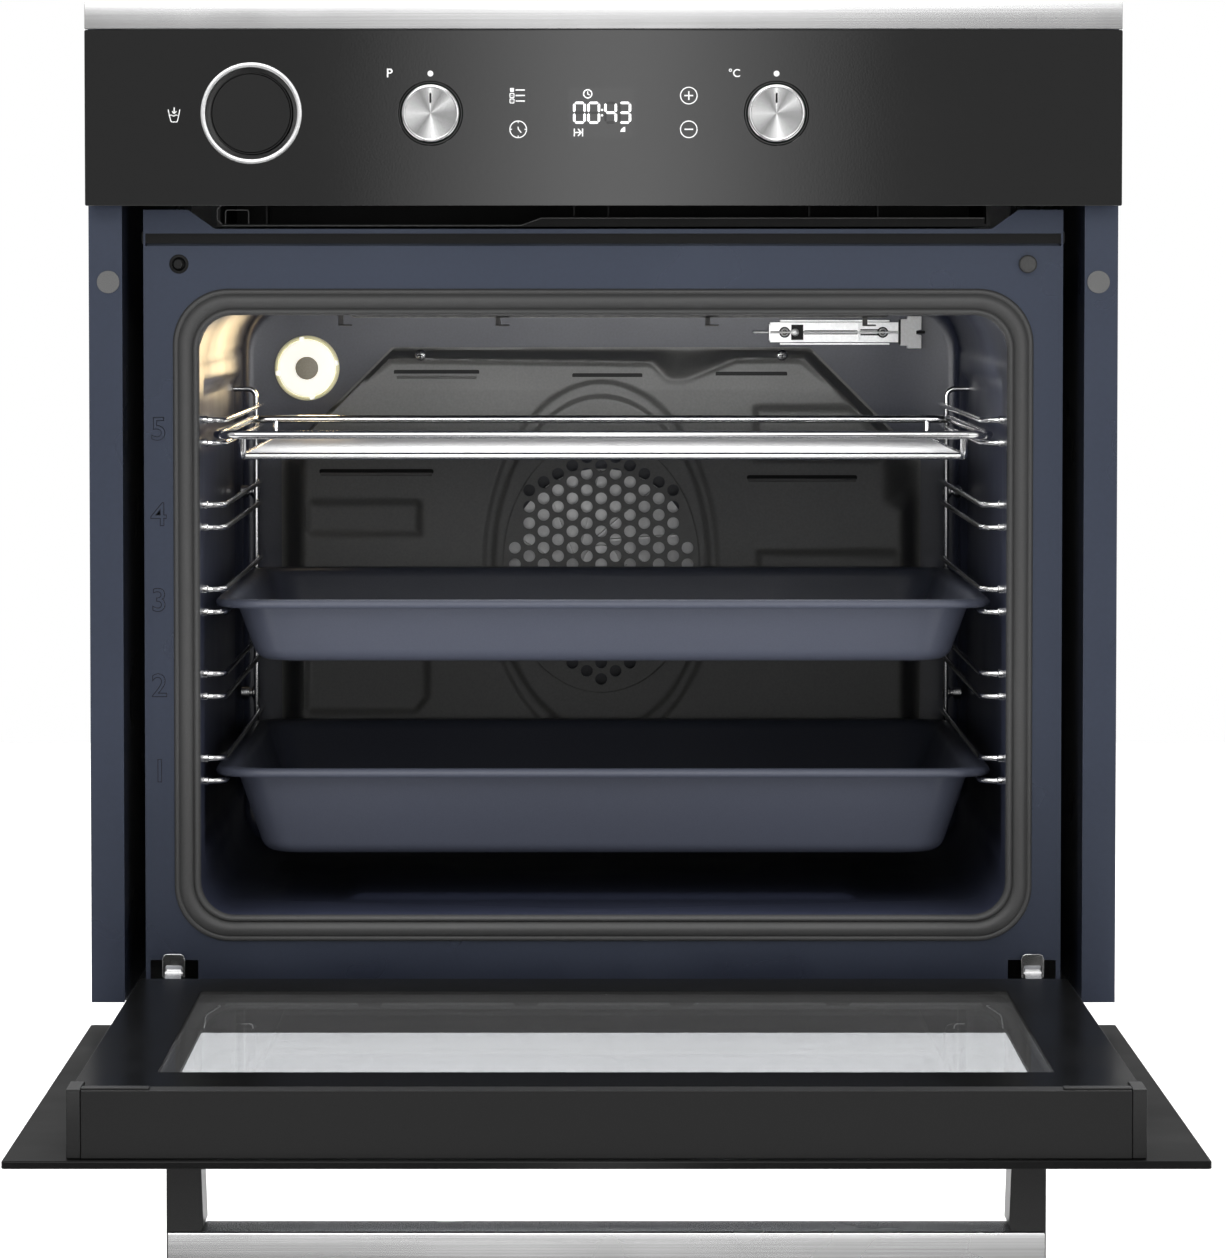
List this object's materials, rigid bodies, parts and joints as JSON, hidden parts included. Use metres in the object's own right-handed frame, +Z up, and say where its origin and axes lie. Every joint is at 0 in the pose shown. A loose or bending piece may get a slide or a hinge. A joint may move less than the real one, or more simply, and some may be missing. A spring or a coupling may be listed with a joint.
{
  "type": "built-in wall oven",
  "caption": "Built-in electric wall oven with a drop-down glass door, control panel, fan-heated cavity, wire shelf and two trays.",
  "frame": {"origin": "centre of the underside of the base panel, which stands on the cabinet's shelf", "axes": "+X to the right seen from the front, +Y into the cabinet, +Z up"},
  "size_m": [0.595, 1.026, 0.647],
  "materials": {
    "aluminium": "mill finish",
    "black_glass": "black printed glass",
    "black_paint": "satin black powder coat",
    "black_plastic": "black moulded plastic",
    "board": "glass-fibre circuit board",
    "brushed_steel": "fine horizontal brushing",
    "chrome": "bright chrome plate",
    "clear_glass": "clear heat-reflecting glass",
    "dark_enamel": "dark grey enamel",
    "door_glass": "tempered glass with a black printed border",
    "enamel": "blue-grey vitreous enamel, satin gloss",
    "frosted_glass": "pressed lamp glass",
    "galvanised": "zinc-coated sheet steel",
    "grey_plastic": "grey moulded plastic",
    "heater": "heat-darkened steel sheath",
    "motor_steel": "varnished laminations",
    "seal": "silicone rubber",
    "steel": "plain steel",
    "tray_enamel": "dark blue speckled enamel",
    "wool": "mineral wool",
    "zinc_steel": "bright zinc-plated pressed steel"
  },
  "bodies": {
    "chassis": {"front_frame": "enamel", "base_panel": "galvanised", "side_panel_left": "enamel", "side_panel_right": "enamel", "top_cover": "galvanised", "rear_cover": "galvanised", "cavity_liner": "enamel", "insulation": "wool", "door_gasket": "seal", "control_glass": "black_glass", "top_trim": "brushed_steel", "panel_carrier": "black_plastic", "knob_collars": "black_plastic", "display_board": "board", "knob_encoders": "black_plastic", "filler_ring": "chrome", "filler_sleeve": "grey_plastic", "vent_duct": "black_plastic", "blower_housing": "galvanised", "blower_motor": "motor_steel", "grill_element": "heater", "base_element": "heater", "ring_element": "heater", "fan_motor": "motor_steel", "fan_cover": "dark_enamel", "fan_cover_screws": "zinc_steel", "lamp_housing": "galvanised", "lamp_bulb": "frosted_glass", "temperature_sensor": "chrome", "rack_left": "chrome", "rack_right": "chrome", "rack_nuts": "zinc_steel", "hinge_hooks": "zinc_steel", "hinge_pins": "steel", "door_switch": "black_plastic", "door_bumper": "seal", "cabinet_screw_caps": "grey_plastic", "terminal_block": "grey_plastic"},
    "door": {"door_outer_glass": "door_glass", "door_middle_glass": "clear_glass", "door_inner_glass": "door_glass", "door_columns": "black_paint", "door_top_profile": "black_plastic", "door_bottom_profile": "black_plastic", "hinge_bodies": "zinc_steel", "handle_bar": "brushed_steel", "handle_legs": "black_plastic"},
    "shelf": {"wire_shelf": "chrome"},
    "upper_tray": {"baking_tray": "tray_enamel"},
    "lower_tray": {"deep_tray": "tray_enamel"},
    "function_shaft": {"knob_left_shaft": "steel"},
    "function_cap": {"knob_left_cap": "brushed_steel"},
    "temperature_shaft": {"knob_right_shaft": "steel"},
    "temperature_cap": {"knob_right_cap": "brushed_steel"},
    "filler": {"filler_cup": "black_plastic"},
    "fan": {"convection_fan": "aluminium"},
    "blower": {"blower_wheel": "aluminium"},
    "lamp_glass": {"lamp_cover": "frosted_glass"},
    "switch_pin": {"switch_plunger": "black_plastic"},
    "left_lock": {"lock_lever_left": "zinc_steel"},
    "right_lock": {"lock_lever_right": "zinc_steel"}
  },
  "joints": [
    {"name": "door_hinge", "type": "hinge", "parent": "chassis", "child": "door", "pos_m": [0, -0.29, -0.008], "axis": [1, 0, 0], "range_deg": [-90, 0]},
    {"name": "shelf_slide", "type": "slide", "parent": "chassis", "child": "shelf", "axis": [0, -1, 0], "range_m": [0, 0.3]},
    {"name": "baking_tray_slide", "type": "slide", "parent": "chassis", "child": "upper_tray", "axis": [0, -1, 0], "range_m": [0, 0.3]},
    {"name": "deep_tray_slide", "type": "slide", "parent": "chassis", "child": "lower_tray", "axis": [0, -1, 0], "range_m": [0, 0.3]},
    {"name": "function_knob_turn", "type": "hinge", "parent": "chassis", "child": "function_shaft", "pos_m": [-0.0992, -0.278, 0.5153], "axis": [0, 1, 0], "continuous": true},
    {"name": "function_knob_pop", "type": "slide", "parent": "function_shaft", "child": "function_cap", "axis": [0, -1, 0], "range_m": [0, 0.014]},
    {"name": "temperature_knob_turn", "type": "hinge", "parent": "chassis", "child": "temperature_shaft", "pos_m": [0.0992, -0.278, 0.5153], "axis": [0, 1, 0], "range_deg": [0, 285]},
    {"name": "temperature_knob_pop", "type": "slide", "parent": "temperature_shaft", "child": "temperature_cap", "axis": [0, -1, 0], "range_m": [0, 0.014]},
    {"name": "filler_pop", "type": "slide", "parent": "chassis", "child": "filler", "axis": [0, -1, 0], "range_m": [0, 0.05]},
    {"name": "fan_spin", "type": "hinge", "parent": "chassis", "child": "fan", "pos_m": [0, 0.142, 0.2328], "axis": [0, 1, 0], "continuous": true},
    {"name": "blower_spin", "type": "hinge", "parent": "chassis", "child": "blower", "pos_m": [0, 0.132, 0.496], "axis": [1, 0, 0], "continuous": true},
    {"name": "lamp_glass_twist", "type": "hinge", "parent": "chassis", "child": "lamp_glass", "pos_m": [-0.194, 0.157, 0.3612], "axis": [0, 1, 0], "range_deg": [-120, 0]},
    {"name": "door_switch_press", "type": "slide", "parent": "chassis", "child": "switch_pin", "axis": [0, 1, 0], "range_m": [0, 0.004], "stiffness_N_per_m": 200, "springref_m": -0.002},
    {"name": "left_lock_flip", "type": "hinge", "parent": "chassis", "child": "left_lock", "pos_m": [-0.251, -0.2595, 0.0146], "axis": [1, 0, 0], "range_deg": [0, 55]},
    {"name": "right_lock_flip", "type": "hinge", "parent": "chassis", "child": "right_lock", "pos_m": [0.251, -0.2595, 0.0146], "axis": [1, 0, 0], "range_deg": [0, 55]}
  ]
}
